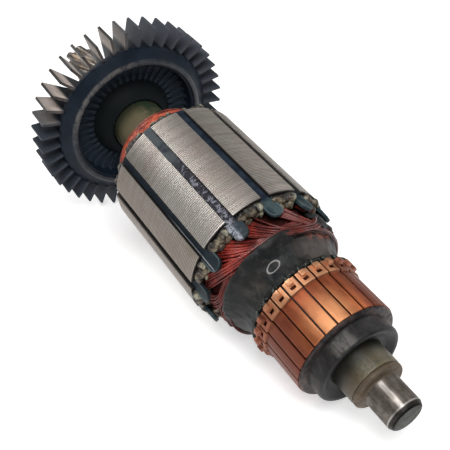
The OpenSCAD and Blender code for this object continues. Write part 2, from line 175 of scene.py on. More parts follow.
class Flow:
    """A socket of a material. Sums on it add Math nodes."""

    def __init__(self, tree, link):
        self.tree, self.link = tree, link

    def add(self, kind, settings=None, sockets=None, output=0):
        node = self.tree.nodes.new(kind)
        for key, value in (settings or {}).items():
            if key == "stops":
                ramp = node.color_ramp
                while len(ramp.elements) < len(value):
                    ramp.elements.new(0.5)
                for element, (place, colour) in zip(ramp.elements, value):
                    element.position = place
                    element.color = (*colour, 1.0)
            else:
                setattr(node, key, value)
        for key, value in (sockets or {}).items():
            if isinstance(value, Flow):
                self.tree.links.new(value.link, node.inputs[key])
            else:
                node.inputs[key].default_value = value
        return Flow(self.tree, node.outputs[output])

    def sum(self, operation, a, b=0.0):
        return self.add("ShaderNodeMath", {"operation": operation}, {0: a, 1: b})

    def __add__(self, other):
        return self.sum("ADD", self, other)

    __radd__ = __add__

    def __sub__(self, other):
        return self.sum("SUBTRACT", self, other)

    def __rsub__(self, other):
        return self.sum("SUBTRACT", other, self)

    def __mul__(self, other):
        return self.sum("MULTIPLY", self, other)

    __rmul__ = __mul__

    def __truediv__(self, other):
        return self.sum("DIVIDE", self, other)

    def part(self, axis):
        return self.add("ShaderNodeSeparateXYZ", None, {0: self}, axis)

    def noise(self, scale, detail=3.0, rough=0.5, stretch=(1, 1, 1)):
        place = self.add("ShaderNodeVectorMath", {"operation": "MULTIPLY"}, {0: self, 1: stretch})
        return self.add("ShaderNodeTexNoise", None,
                        {"Vector": place, "Scale": scale, "Detail": detail, "Roughness": rough})

    def step(self, low, high):
        return self.add("ShaderNodeMapRange", {"clamp": True, "interpolation_type": "SMOOTHSTEP"},
                        {"Value": self, "From Min": low, "From Max": high})

    def blend(self, a, b):
        return self.add("ShaderNodeMix", {"data_type": "RGBA"},
                        {0: self, 6: a if isinstance(a, Flow) else (*a, 1.0),
                         7: b if isinstance(b, Flow) else (*b, 1.0)}, 2)

    def bump(self, height, distance, strength=1.0):
        return self.add("ShaderNodeBump", None,
                        {"Height": height, "Distance": distance * MM, "Strength": strength})


def new_finish(name, metallic=0.0, rough=0.5, specular=0.5):
    """A material, and a spot's place on the upright shaft in mm."""
    material = bpy.data.materials.new(name)
    material.use_nodes = True
    shader = material.node_tree.nodes["Principled BSDF"]
    shader.inputs["Metallic"].default_value = metallic
    shader.inputs["Roughness"].default_value = rough
    shader.inputs["Specular IOR Level"].default_value = specular
    root = Flow(material.node_tree, None)
    here = root.add("ShaderNodeTexCoord", None, None, 3)
    place = root.add("ShaderNodeMapping", {"vector_type": "TEXTURE"},
                     {"Vector": here, "Location": LIE_PLACE, "Rotation": (0, LIE_TURN, 0),
                      "Scale": (MM, MM, MM)})
    return material, place


def wear(material, **sockets):
    """Gives a material's shader its values, fixed or changing over the surface."""
    shader = material.node_tree.nodes["Principled BSDF"]
    for name, value in sockets.items():
        target = shader.inputs[name.replace("_", " ")]
        if isinstance(value, Flow):
            material.node_tree.links.new(value.link, target)
        else:
            target.default_value = value if isinstance(value, float) else (*value, 1.0)


def round_place(place):
    """A place as its angle in radians, its radius and its height."""
    x, y, z = place.part(0), place.part(1), place.part(2)
    angle = place.sum("ARCTAN2", y, x)
    radius = place.sum("SQRT", x * x + y * y)
    return angle, radius, z


def toward(angle, turn):
    """How squarely a spot faces the side at an angle in degrees: 1 is straight on."""
    return angle.sum("COSINE", angle - math.radians(turn - 360 if turn > 180 else turn))


shaft_bar = turned([
    [0, -82.5], [2.8, -82.5], [3.6, -81.9], [4.2, -81.9], [4.2, -79.7], [4.6, -79.7],
    [5.0, -79.3], [5.0, -68.7], [5.5, -68.7], [5.5, -58.5], [4.9, -58.5], [4.9, 39.15],
    [5.75, 39.15], [5.85, 39.5], [5.85, 39.95], [5.55, 40.3], [4.3, 40.35], [4.0, 40.6],
    [4.0, 46.95], [3.6, 47.75], [BEVEL_RADIUS, SHAFT_FRONT], [0, SHAFT_FRONT]], edge=0.12)

# The pinion starts as a round at the tips, its flutes are drawn in, and it is drawn
# out along the shaft with a little turn at each step.
END_CHAMFER = 0.86
tooth_points = 14
bpy.ops.object.select_all(action="DESELECT")
bpy.ops.mesh.primitive_circle_add(
    vertices=tooth_points * PINION_TEETH, radius=PINION_RADIUS * MM, fill_type="NOTHING",
    location=(0, 0, 0))
pinion = bpy.context.object
flute_radii = (2.9, 2.95, 3.15, 3.65, 4.15, 4.35)
for step, radius in enumerate(flute_radii):
    pick(pinion, lambda vertex: vertex.index % tooth_points in (
        step, (tooth_points - step) % tooth_points))
    widen(radius / PINION_RADIUS)
bpy.ops.mesh.select_all(action="SELECT")
widen(END_CHAMFER)
bpy.ops.transform.translate(value=(0, 0, PINION_END * MM))
draw_out(0.7)
widen(1 / END_CHAMFER)
for step in range(PINION_STEPS):
    draw_out(0.6)
    twist(-PINION_TWIST / PINION_STEPS)
close_ends(pinion)

steel, place = new_finish("ground_steel", metallic=1.0, rough=0.3)
angle, radius, z = round_place(place)
along = place.noise(1.0, 4, 0.6, (2.2, 2.2, 0.12))
rings = place.noise(1.0, 3, 0.6, (0.25, 0.25, 6.0))
blotch = place.noise(0.45, 4, 0.6)
tarnish = (blotch * 0.55 + along * 0.45).step(0.43, 0.58)
shoulder = z.step(38.9, 39.4) * (1.0 - z.step(40.5, 41.0))
end_face = z.step(47.9, 48.0)
colour = tarnish.blend((0.275, 0.245, 0.220), (0.150, 0.128, 0.110))
mottle = place.noise(1.3, 4, 0.65)
colour = (mottle.step(0.46, 0.62) * 0.5).blend(colour, (0.105, 0.088, 0.074))
# Painted shade: the shaft is darkened on its side at 262°.
under = toward(angle, 262).step(0.62, 0.90)
colour = (under * 0.45).blend(colour, (0.060, 0.052, 0.044))
# Painted shade: from the shoulder forwards, the side at 160° is darkened.
over = toward(angle, 160).step(0.45, 0.85) * z.step(38.0, 39.0)
colour = (over * 0.6).blend(colour, (0.080, 0.068, 0.058))
# Painted highlight: a bright band runs along the journal on the side at 209°.
streak = toward(angle, 209).step(0.986, 0.997) * (0.45 + along * 0.9)
colour = (streak * z.step(40.3, 40.9) * 0.8).blend(colour, (0.42, 0.39, 0.36))
rust = z.step(-78.0, -84.0) * blotch.step(0.48, 0.62)
colour = (rust * 0.7).blend(colour, (0.44, 0.34, 0.24))
colour = (shoulder * 0.85).blend(colour, (0.13, 0.092, 0.058))
# Painted dark reflection: the chamfer is made dark, and a near-black painted line runs where it
# meets the end face.
chamfer = z.step(46.9, 47.1)
colour = (chamfer * 0.9).blend(colour, (0.034, 0.031, 0.028))
colour = z.step(47.68, 47.78).blend(colour, (0.008, 0.008, 0.008))
colour = (end_face * 0.9).blend(colour, (0.076, 0.075, 0.066))
# Painted highlight: a bright line runs round the journal's edge at the chamfer.
edge = z.step(46.55, 46.85) * (1.0 - z.step(46.9, 47.1))
colour = (edge * 0.5).blend(colour, (0.62, 0.60, 0.57))
wear(steel, Base_Color=colour, Roughness=0.42 + tarnish * 0.2 + end_face * 0.1 + shoulder * 0.1,
     Metallic=1.0 - shoulder * 0.5 - end_face * 0.4,
     Normal=place.bump(rings * 0.6 + along * 0.4, 0.04, 0.5))
fit(join([shaft_bar, pinion]), "steel_shaft", steel, "shaft_steel", "shaft")

# ---- Insulating tube -------------------------------------
# Glass-filled resin moulded over the shaft, so that nothing live can reach it. It is
# thicker between the core and the fan, and it has a mottled tan and green skin.
tube = turned([
    [4.93, -58.45], [7.2, -58.45], [7.2, -35.95], [5.9, -35.95], [5.9, 38.9], [5.75, 39.12],
    [4.93, 39.12]], edge=0.12, closed=True)
resin, place = new_finish("tan_resin", rough=0.42)
angle, radius, z = round_place(place)
mottle = place.noise(0.55, 5, 0.65)
fine = place.noise(2.4, 4, 0.6)
rust = place.noise(0.9, 3, 0.5, (1, 1, 0.7)).step(0.56, 0.68)
green = (mottle * 0.7 + fine * 0.3).step(0.47, 0.60)
colour = green.blend((0.135, 0.110, 0.065), (0.080, 0.092, 0.056))
colour = (fine.step(0.56, 0.72) * 0.55).blend(colour, (0.26, 0.24, 0.16))
colour = (rust * 0.55).blend(colour, (0.11, 0.055, 0.025))
front_rim, in_front = z.step(38.3, 38.7), z.step(20.0, 21.0)
behind = 1.0 - z.step(-40.0, -38.0)
colour = (front_rim * 0.6).blend(colour, (0.20, 0.165, 0.085))
shaded_side = toward(angle, 262).step(0.70, 0.98)
colour = (in_front * 0.3).blend(colour, (0.045, 0.034, 0.018))
colour = (shaded_side * in_front * 0.55).blend(colour, (0.085, 0.052, 0.026))
rubbed = toward(angle, 214).step(0.90, 0.98) * z.step(35.2, 36.4)
colour = (rubbed * fine.step(0.36, 0.66) * 0.45).blend(colour, (0.27, 0.25, 0.185))
# Painted shadow: just in front of the hub the tube is made nearly black, reaching further forward
# on the shaded side.
painted_shadow_by_hub = (1.0 - (z - shaded_side - rubbed * 0.5 + mottle * 1.2).step(34.6, 38.0)) * in_front
colour = (painted_shadow_by_hub * 0.95).blend(colour, (0.008, 0.008, 0.005))
near_fan = 1.0 - z.step(-54.0, -46.0)
colour = (behind * 0.6).blend(colour, (0.25, 0.215, 0.125))
# Painted shade: behind the core the tube is darkened on the sides turned away from 222°, and goes
# dark green-black where it enters the fan hub.
painted_shade_away = 1.0 - toward(angle, 222).step(0.55, 0.96)
colour = ((1.0 - z.step(-57.0, -52.2)) * 0.9).blend(colour, (0.018, 0.026, 0.014))
colour = (painted_shade_away * behind * 0.6).blend(colour, (0.040, 0.036, 0.020))
green_side = toward(angle, 150).step(0.55, 0.95)
green_patch = near_fan * green_side * mottle.step(0.40, 0.52)
colour = (green_patch * 0.8).blend(colour, (0.015, 0.045, 0.022))
wear(resin, Base_Color=colour, Roughness=0.34 + mottle * 0.25, Normal=place.bump(fine, 0.05, 0.4))
fit(tube, "insulating_tube", resin, "tube_resin", "shaft_insulation")

# ---- Laminated core --------------------------------------
# Seventy sheets of electrical steel, half a millimetre each, stamped with twelve slots
# and pressed together on the tube. Their edges are turned, which leaves fine rings.
SLOTS, SLOT_TURN = 12, 5.63
SLOT_PITCH = 360 / SLOTS
SLOT_FLOOR = 15.9
CORE_LENGTH = 35.0
SHEETS, GROOVE = 70, 0.9950
OUTLINE = 252
per_slot = OUTLINE // SLOTS
one_step = 360 / OUTLINE
first_turn = math.radians(SLOT_TURN - 2.5 * one_step)
bpy.ops.object.select_all(action="DESELECT")
bpy.ops.mesh.primitive_circle_add(
    vertices=OUTLINE, radius=CORE_RADIUS * MM, fill_type="NOTHING",
    rotation=(0, 0, math.radians(SLOT_TURN - 2.5 * one_step - 90)))
core = bpy.context.object
bpy.ops.object.transform_apply(location=True, rotation=True, scale=True)
slot_edge = Vector((CORE_RADIUS * MM * math.cos(first_turn),
                    CORE_RADIUS * MM * math.sin(first_turn), 0))
first = min(range(OUTLINE), key=lambda i: (core.data.vertices[i].co - slot_edge).length)
clockwise = core.data.vertices[(first + 1) % OUTLINE].co.y < core.data.vertices[first].co.y
for offset, turn in ((1, -0.93), (2, 0.0), (3, 0.0), (4, 0.93)):
    pick(core, lambda vertex: offset == (
        first - vertex.index if clockwise else vertex.index - first) % per_slot)
    widen(SLOT_FLOOR / CORE_RADIUS)
    if turn:
        twist(turn * one_step)
sheet = CORE_LENGTH / SHEETS
bpy.ops.mesh.select_all(action="SELECT")
bpy.ops.transform.translate(value=(0, 0, -CORE_LENGTH * MM))
dice = random.Random(4)
size = 1.0
for i in range(SHEETS):
    edge = 1 - dice.uniform(0.0, 0.0012)
    for rise, target in ((0.09, edge), (0.27, edge), (0.14, GROOVE if i < SHEETS - 1 else edge)):
        draw_out(rise)
        widen(target / size)
        size = target
close_ends(core)

silicon_steel, place = new_finish("turned_sheet_edges", metallic=1.0, rough=0.38)
angle, radius, z = round_place(place)
sheet_number = place.sum("FLOOR", z / sheet)
sheet_tone = place.add("ShaderNodeTexWhiteNoise", {"noise_dimensions": "1D"},
                       {"W": sheet_number + 0.37})
turning = place.add("ShaderNodeCombineXYZ", None, {0: angle * 3.0, 1: sheet_number * 3.1, 2: 0.0})
streak = turning.noise(1.6, 5.0, 0.7)
within = place.sum("FRACT", z / sheet)
line = within.step(0.52, 0.98) + (1.0 - within.step(0.02, 0.30))
cloud = place.noise(0.16, 4, 0.6)
varnish = place.noise(0.5, 5, 0.65, (1, 1, 0.35)).step(0.62, 0.74)
scratch = place.noise(1.0, 2, 0.5, (0.9, 0.9, 2.4)).step(0.69, 0.73)
colour = (sheet_tone * 0.35 + streak * 0.65).step(0.1, 0.9).blend(
    (0.50, 0.455, 0.415), (0.74, 0.69, 0.64))
colour = (cloud.step(0.42, 0.7) * 0.4).blend(colour, (0.42, 0.35, 0.29))
tint = place.noise(0.22, 2, 0.5)
colour = (tint.step(0.54, 0.62) * 0.10).blend(colour, (0.60, 0.34, 0.40))
colour = ((1.0 - tint.step(0.38, 0.45)) * 0.10).blend(colour, (0.30, 0.52, 0.36))
colour = (line * 0.80).blend(colour, (0.105, 0.085, 0.068))
colour = (varnish * 0.35).blend(colour, (0.20, 0.17, 0.11))
facing = toward(angle, 247)
drip = facing.step(0.988, 0.995) * z.step(-11.0, -5.0) * place.noise(0.7, 3, 0.6).step(0.40, 0.52)
colour = (drip * 0.45).blend(colour, (0.34, 0.30, 0.20))
midway = z.step(-26.0, -20.0) * (1.0 - z.step(-16.0, -10.0))
colour = (scratch * midway * 0.6).blend(colour, (0.85, 0.82, 0.76))
# Painted shade: the teeth on the side at 282° are darkened.
painted_shade_left_teeth = toward(angle, 282).step(0.62, 0.97)
colour = (painted_shade_left_teeth * 0.55).blend(colour, (0.115, 0.098, 0.086))
# Painted shade darkens the teeth beside the ones facing 233° and the rear of the core, and a
# painted glint lies on the teeth that face 233°.
bright = toward(angle, 233)
beside = toward(angle, 262).step(0.90, 0.98)
other_side = bright.step(0.45, 0.70) * (1.0 - bright.step(0.88, 0.96))
rear = 1.0 - z.step(-32.0, -20.0)
colour = (beside * 0.24 + other_side * 0.16 + rear * 0.05).blend(colour, (0.17, 0.135, 0.110))
glint = bright.step(0.95, 0.995) * z.step(-31.0, -12.0) * (1.0 - line * 0.8)
colour = (glint * 0.4).blend(colour, (0.95, 0.91, 0.87))
# Painted shade: below the tooth tops, in the slots, the steel is made nearly black.
inside = 1.0 - radius.step(17.3, 17.55)
colour = (inside * 0.85).blend(colour, (0.030, 0.028, 0.030))
wear(silicon_steel, Base_Color=colour, Roughness=0.34 + streak * 0.16 + line * 0.15,
     Normal=place.bump(streak * 0.6 + sheet_tone * 0.4, 0.02, 0.25))
fit(core, "laminated_core", silicon_steel, "core_steel", "lamination_stack")

# ---- Slot liners and end boards --------------------------
# Each slot is lined with a folded slip of insulating paper, and a fibre board covers each
# face of the core. Drips of varnish and filled resin have set in lumps on the boards
# between the slots.
def refinish(cad_piece, material):
    """Gives its material to a CAD piece whose shape stays as it is."""
    bpy.data.objects[cad_piece].data.materials.clear()
    bpy.data.objects[cad_piece].data.materials.append(material)


# Painted shade: the liner paper is coloured dark brown for the shade in the slots.
liner_paper, place = new_finish("liner_paper", rough=0.6)
fibres = place.noise(1.2, 5, 0.7, (1, 1, 0.3))
colour = fibres.step(0.35, 0.7).blend((0.055, 0.045, 0.035), (0.12, 0.095, 0.06))
wear(liner_paper, Base_Color=colour, Normal=place.bump(fibres, 0.05, 0.4))
refinish("slot_liners", liner_paper)


def roughen(piece, scale, strength):
    """Swells and dents a smooth piece by a cloud pattern, with its scale and depth in mm."""
    cloud = bpy.data.textures.new("swelling", "CLOUDS")
    cloud.noise_scale = scale * MM
    cloud.noise_depth = 2
    take(piece)
    swell = piece.modifiers.new("swelling", "DISPLACE")
    swell.texture = cloud
    swell.strength = strength * MM
    swell.mid_level = 0.5
    bpy.ops.object.modifier_apply(modifier=swell.name)
    bpy.ops.object.shade_smooth()


def ball(size, subdivisions, stretch, spot, turn):
    """A ball drawn out of round, moved to a spot in mm and turned round the shaft in degrees."""
    bpy.ops.object.select_all(action="DESELECT")
    bpy.ops.mesh.primitive_ico_sphere_add(subdivisions=subdivisions, radius=size * MM)
    piece = bpy.context.object
    bpy.ops.object.mode_set(mode="EDIT")
    bpy.ops.transform.resize(value=stretch)
    bpy.ops.transform.translate(value=[value * MM for value in spot])
    twist(turn)
    bpy.ops.object.mode_set(mode="OBJECT")
    return piece


FIRST_GAP = SLOT_TURN + SLOT_PITCH / 2
# Place across the tooth, radius, size and height of the six lumps on each tooth.
LUMPS = ((-1.9, 16.55, 0.95, 1.15), (-0.55, 16.35, 1.0, 1.3), (0.75, 16.5, 0.95, 1.1),
         (1.95, 16.4, 0.9, 1.2), (-1.3, 15.0, 1.25, 0.9), (1.2, 15.0, 1.25, 1.0))
boards = []
for face, way in ((0.0, 1.0), (-CORE_LENGTH, -1.0)):
    board = turned([[6.1, 0.05], [16.3, 0.05], [16.1, 0.8], [6.1, 0.85]], edge=0.2, closed=True)
    board.data.transform(
        Matrix.Translation((0, 0, face * MM)) @ Matrix.Scale(way, 4, (0, 0, 1)))
    if way < 0:
        board.data.flip_normals()
    lumps = [board]
    for tooth in range(SLOTS):
        for across, radius, size, high in LUMPS:
            grow = dice.uniform(0.8, 1.2)
            lump = ball(size * grow, 3, (0.9, dice.uniform(0.9, 1.25), high),
                        (radius + dice.uniform(-0.2, 0.2), across + dice.uniform(-0.25, 0.25),
                         face + way * (0.95 if radius > 16 else 1.25)),
                        FIRST_GAP + SLOT_PITCH * tooth)
            roughen(lump, 0.9, 0.8)
            lumps.append(lump)
    boards.append(join(lumps))
drips, place = new_finish("set_varnish_drips", rough=0.35)
angle, radius, z = round_place(place)
tone = place.noise(0.55, 3, 0.5)
fine = place.noise(2.2, 3, 0.6)
colour = tone.add("ShaderNodeValToRGB", {"stops": [
    (0.38, (0.016, 0.012, 0.009)), (0.47, (0.060, 0.042, 0.026)), (0.56, (0.165, 0.125, 0.082)),
    (0.66, (0.36, 0.33, 0.23))]}, {0: tone})
side_of_gap = place.sum("FRACT", (angle - math.radians(SLOT_TURN - 360)) * (SLOTS / math.tau))
cream = side_of_gap.step(0.17, 0.22) * (1.0 - side_of_gap.step(0.28, 0.34))
colour = (cream * fine.step(0.35, 0.5) * 0.75).blend(colour, (0.46, 0.45, 0.33))
flat_in_front = 1.0 - (z + 0.2).step(0.9, 1.6)
flat_behind = 1.0 - (-CORE_LENGTH - z).step(0.9, 1.6)
flat = place.sum("MINIMUM", flat_in_front, flat_behind)
colour = flat.blend(colour, (0.035, 0.030, 0.026))
wear(drips, Base_Color=colour, Roughness=0.25 + fine * 0.3, Normal=place.bump(fine, 0.12, 0.5))
fit(boards[0], "front_board_and_drips", drips, "board", "front_end_board")
fit(boards[1], "rear_board_and_drips", drips, "board", "rear_end_board")

# ---- Armature winding ------------------------------------
# Twelve coils of enamelled copper wire lie in the slots. Outside the core each one
# crosses five slots, leaving its first slot on top of the others and diving under them
# into its last. Everything is soaked in clear varnish, which has turned the wire deep red.
WIRE = 0.48
COIL_SPAN, HEAD_RADIUS = 150, 14.6
LAST_COIL = 9
front_core = turned([
    [6.0, 1.0], [13.5, 1.0], [13.8, 3.0], [13.7, 7.6], [13.0, 8.3], [6.0, 8.3]],
    sides=72, edge=0.6, closed=True)
rear_core = turned([
    [7.25, -36.0], [13.8, -36.0], [13.9, -39.0], [13.2, -42.0], [11.3, -43.6], [7.25, -43.7]],
    sides=72, edge=0.6, closed=True)


def block(size, middle):
    """A block with its size and its middle in mm."""
    bpy.ops.object.select_all(action="DESELECT")
    bpy.ops.mesh.primitive_cube_add(size=1, location=[value * MM for value in middle])
    piece = bpy.context.object
    piece.scale = [value * MM for value in size]
    bpy.ops.object.transform_apply(location=True, rotation=True, scale=True)
    return piece


def copied(piece, turn):
    """A copy with its own mesh, turned round the shaft by an angle in degrees."""
    copy = piece.copy()
    copy.data = piece.data.copy()
    scene.collection.objects.link(copy)
    copy.data.transform(Matrix.Rotation(math.radians(turn), 4, "Z"))
    return copy


side = block((5.2, 2.9, 37.4), (12.6, 0, -CORE_LENGTH / 2))
round_off(side, 0.5)
coil_sides = [copied(side, SLOT_TURN + SLOT_PITCH * slot) for slot in range(SLOTS)]
bpy.data.objects.remove(side)


def ease(x):
    """Eases from 0 to 1 and stays there."""
    x = min(max(x, 0.0), 1.0)
    return x * x * (3 - 2 * x)


def coil_path(across, lift, leaves, rise, fall, peak, wide, narrow, outer, inner):
    """Points of one strand of a coil head, as [angle, height, radius], from slot to slot."""
    def middle(s):
        up = math.sin(math.pi / 2 * min(max(s / rise, 0.0), 1.0))
        down = math.sin(math.pi / 2 * min(max((COIL_SPAN - s) / fall, 0.0), 1.0))
        return up * down

    path = [[leaves - 1.5 - 5.0 * across, 0.2, outer - 1.3]]
    steps = 26
    for i in range(steps + 1):
        s = 3.0 + (COIL_SPAN - 6.0) * i / steps
        crest = middle(s)
        slope = (middle(s + 1) - middle(s - 1)) * (peak - 0.3) / (2 * math.radians(HEAD_RADIUS))
        length = math.hypot(1, slope)
        width = wide + (narrow - wide) * crest
        turn = s - math.degrees(across * width * slope / length / HEAD_RADIUS)
        high = 0.3 + (peak - 0.3) * crest + across * width / length
        depth = outer + (inner - outer) * ease(s / COIL_SPAN) + lift * (0.35 + 0.65 * crest)
        path.append([leaves - turn, max(high, 0.35), depth])
    path.append([leaves - COIL_SPAN + 1.5 + 5.0 * across, 0.2, inner - 0.8])
    return path


def wires(name, paths, thick, mirror=False):
    """Makes one mesh of many strands, each a curve of round wire."""
    data = bpy.data.curves.new(name, "CURVE")
    data.dimensions = "3D"
    data.bevel_depth = thick / 2 * MM
    data.bevel_resolution = 1
    data.use_fill_caps = True
    for path in paths:
        spline = data.splines.new("POLY")
        spline.points.add(len(path) - 1)
        for point, (turn, high, radius) in zip(spline.points, path):
            turn = math.radians(turn)
            high = -CORE_LENGTH - high if mirror else high
            point.co = (radius * math.cos(turn) * MM, radius * math.sin(turn) * MM, high * MM, 1)
    piece = bpy.data.objects.new(name, data)
    scene.collection.objects.link(piece)
    take(piece)
    bpy.ops.object.convert(target="MESH")
    piece = bpy.context.object
    bpy.ops.object.shade_smooth()
    return piece


# A coil's run: how far round it takes to rise and to fall, its radius as it leaves its
# first slot and as it ends, and its width at the crest. The coil wound last starts in
# the tenth slot and stays on top the whole way round.
COMMON_RUNS = ((34, 30, 14.9, 13.5, 2.4), (42, 28, 15.0, 13.7, 2.0))
OWN_RUNS = {7: (31, 30, 14.9, 13.6, 2.4), 8: (41, 30, 15.1, 13.8, 1.8),
            LAST_COIL: (66, 40, 15.2, 15.2, 1.3)}
TOP_STRANDS, DEEP_STRANDS, REAR_STRANDS = 6, 8, 12
paths = []
for slot in range(SLOTS):
    leaves = SLOT_TURN + SLOT_PITCH * slot
    common = dice.choice(COMMON_RUNS)
    rise, fall, outer, inner, narrow = OWN_RUNS.get(slot, common)
    for i in range(TOP_STRANDS):
        across = 0.5 - i / (TOP_STRANDS - 1) + dice.uniform(-0.05, 0.05)
        lift = -0.25 * (i % 2) + dice.uniform(-0.25, 0.10)
        path = coil_path(across, lift, leaves, rise + dice.uniform(-3, 3),
                         fall + dice.uniform(-3, 3), 7.5 if slot > LAST_COIL else 8.4,
                         3.3, narrow, outer, inner)
        if slot == LAST_COIL:
            for point in path:
                point[1] += 1.1 * ease((190 - point[0]) / 12) * ease((point[0] - 135) / 30)
        paths.append(path)
    for i in range(DEEP_STRANDS):
        across = 0.5 - i / (DEEP_STRANDS - 1)
        paths.append(coil_path(across, -0.75, leaves - dice.uniform(2, 5),
                               rise - dice.uniform(0, 6), fall, 8.0, 4.4, 2.8, outer, inner))
front_wires = wires("front_wires", paths, WIRE)

paths = []
for slot in range(SLOTS):
    leaves = SLOT_TURN + SLOT_PITCH * slot
    for i in range(REAR_STRANDS):
        across = 0.5 - i / (REAR_STRANDS - 1) + dice.uniform(-0.03, 0.03)
        lift = -0.22 * (i % 3) + dice.uniform(-0.05, 0.05)
        path = coil_path(across, lift, leaves, 34, 30, 6.3, 6.0, 5.2, 15.0, 14.3)
        for point in path:
            point[2] -= 2.6 * ease((point[1] - 3.0) / 6.0)
        paths.append(path)
rear_wires = wires("rear_wires", paths, WIRE, mirror=True)


def enamel(name, deep, bright, coat=0.3):
    """Varnished copper wire, mottled from a deep to a bright red, with painted shade low down and
    on the sides away from the light.
    """
    material, place = new_finish(name, rough=0.28, specular=0.5 if coat else 0.1)
    wear(material, Coat_Weight=coat, Coat_Roughness=0.22)
    angle, radius, z = round_place(place)
    tone = place.noise(0.4, 3, 0.5)
    smear = place.noise(1.6, 4, 0.6)
    colour = (tone * 0.7 + smear * 0.3).step(0.35, 0.65).blend(deep, bright)
    colour = (smear.step(0.58, 0.72) * 0.6).blend(colour, (0.05, 0.02, 0.018))
    # Painted shade: the wire goes nearly black low down among the strands, darker on the sides
    # turned away from 238° and further from the core, and a duller red on the low side at 285°.
    low = 1.0 - (radius + (1.0 - z.step(-1.0, 0.0)) * 1.7).step(13.6, 14.8)
    colour = (low * 0.85).blend(colour, (0.022, 0.007, 0.006))
    painted_shade_away = 1.0 - toward(angle, 238).step(0.70, 0.97)
    colour = (painted_shade_away * z.step(0.0, 1.0) * 0.5).blend(colour, (0.050, 0.012, 0.010))
    colour = (z.step(5.0, 8.0) * 0.45).blend(colour, (0.070, 0.018, 0.014))
    painted_shade_low_side = toward(angle, 285).step(0.70, 0.95) * z.step(0.0, 1.0)
    colour = (painted_shade_low_side * 0.4).blend(colour, (0.10, 0.020, 0.016))
    wear(material, Base_Color=colour, Roughness=0.22 + smear * 0.25 + painted_shade_low_side * 0.35 + low * 0.3,
         Coat_Weight=coat * (1.0 - painted_shade_low_side * 0.9), Normal=place.bump(smear, 0.04, 0.3))
    return material


red_enamel = enamel("red_enamel", (0.13, 0.011, 0.008), (0.46, 0.050, 0.032))
orange_enamel = enamel("orange_enamel", (0.20, 0.022, 0.012), (0.80, 0.150, 0.068))
# Painted shade: the packed coils under the strands are near black-red, as the shade between the
# strands.
packed = enamel("packed_coils", (0.014, 0.003, 0.003), (0.050, 0.010, 0.007), coat=0.0)
fit(join([front_core, rear_core] + coil_sides), "packed_coils", packed, "winding_copper",
    "armature_winding")
fit(front_wires, "front_coil_wires", red_enamel, "winding_copper")
fit(rear_wires, "rear_coil_wires", orange_enamel, "winding_copper")

# ---- Slot wedges -----------------------------------------
# A strip of blue-black fibre slid under the lips of each slot keeps the wire in. Each
# one ends in a rounded tongue in front of the core, and all are smeared with varnish.
TOP_WEDGE = 7
strip = block((0.8, 3.55, 41.6), (16.37, 0, -15.6))
corners = strip.data.vertices
pick(strip, lambda edge: all(corners[v].co.z > 5.0 * MM for v in edge.vertices)
     and abs(corners[edge.vertices[0]].co.x - corners[edge.vertices[1]].co.x) > 0.5 * MM, "edges")
bpy.ops.mesh.bevel(offset=1.7 * MM, segments=7, affect="EDGES")
pick(strip, lambda face: face.normal.x > 0.9, "polygons")
bpy.ops.mesh.inset(thickness=0.32 * MM, depth=-0.12 * MM)
bpy.ops.object.mode_set(mode="OBJECT")
round_off(strip, 0.1)
fibre, place = new_finish("blue_black_fibre", rough=0.3, specular=0.22)
angle, radius, z = round_place(place)
cloud = place.noise(0.35, 4, 0.6)
speck = place.noise(1.5, 4, 0.7)
tongue = z.step(-0.6, 0.6)
colour = cloud.step(0.35, 0.7).blend((0.006, 0.013, 0.026), (0.022, 0.038, 0.060))
tongue_colour = cloud.step(0.35, 0.65).blend((0.012, 0.029, 0.038), (0.058, 0.086, 0.094))
colour = tongue.blend(colour, tongue_colour)
# Painted shade: the wedges on the side at 258° are darkened.
painted_shade_wedges = toward(angle, 258).step(0.90, 0.97)
colour = (painted_shade_wedges * 0.8).blend(colour, (0.004, 0.010, 0.016))
rim = radius.step(16.70, 16.76) * tongue
colour = (rim * 0.6).blend(colour, (0.13, 0.18, 0.19))
# The varnish on the wedge that faces up has dried in a crust that whitens forwards.
top_turn = SLOT_TURN + SLOT_PITCH * TOP_WEDGE
this_wedge = toward(angle, top_turn).step(0.986, 0.990)
side = place.sum("SINE", angle - math.radians(top_turn - 360)) * radius
film = this_wedge * (1.0 - z.step(-24.0, -19.0)) * cloud.step(0.25, 0.5)
colour = (film * 0.85).blend(colour, (0.070, 0.088, 0.098))
crust = this_wedge * z.step(-25.0, -18.0)
flakes = place.noise(0.85, 4, 0.7, (1, 1, 1.2))
colour = (crust * 0.95).blend(colour, (0.009, 0.008, 0.014))
colour = (crust * speck.step(0.42, 0.60) * 0.6).blend(colour, (0.085, 0.085, 0.105))
middle = 1.0 - place.sum("ABSOLUTE", side).step(0.3, 1.3)
white = crust * middle * (flakes + z * 0.002).step(0.49, 0.54)
colour = (white * 0.9).blend(colour, (0.27, 0.27, 0.32))
colour = (crust * speck.step(0.54, 0.60)).blend(colour, (0.010, 0.008, 0.016))
on_tongue = this_wedge * z.step(0.0, 1.5)
colour = (on_tongue * 0.85).blend(colour, (0.026, 0.042, 0.050))
white = this_wedge * z.step(-4.0, 1.0) * side.step(0.0, 0.7)
white = white * (speck * 0.8 + flakes).step(0.76, 1.0)
colour = (white * 0.85).blend(colour, (0.44, 0.46, 0.52))
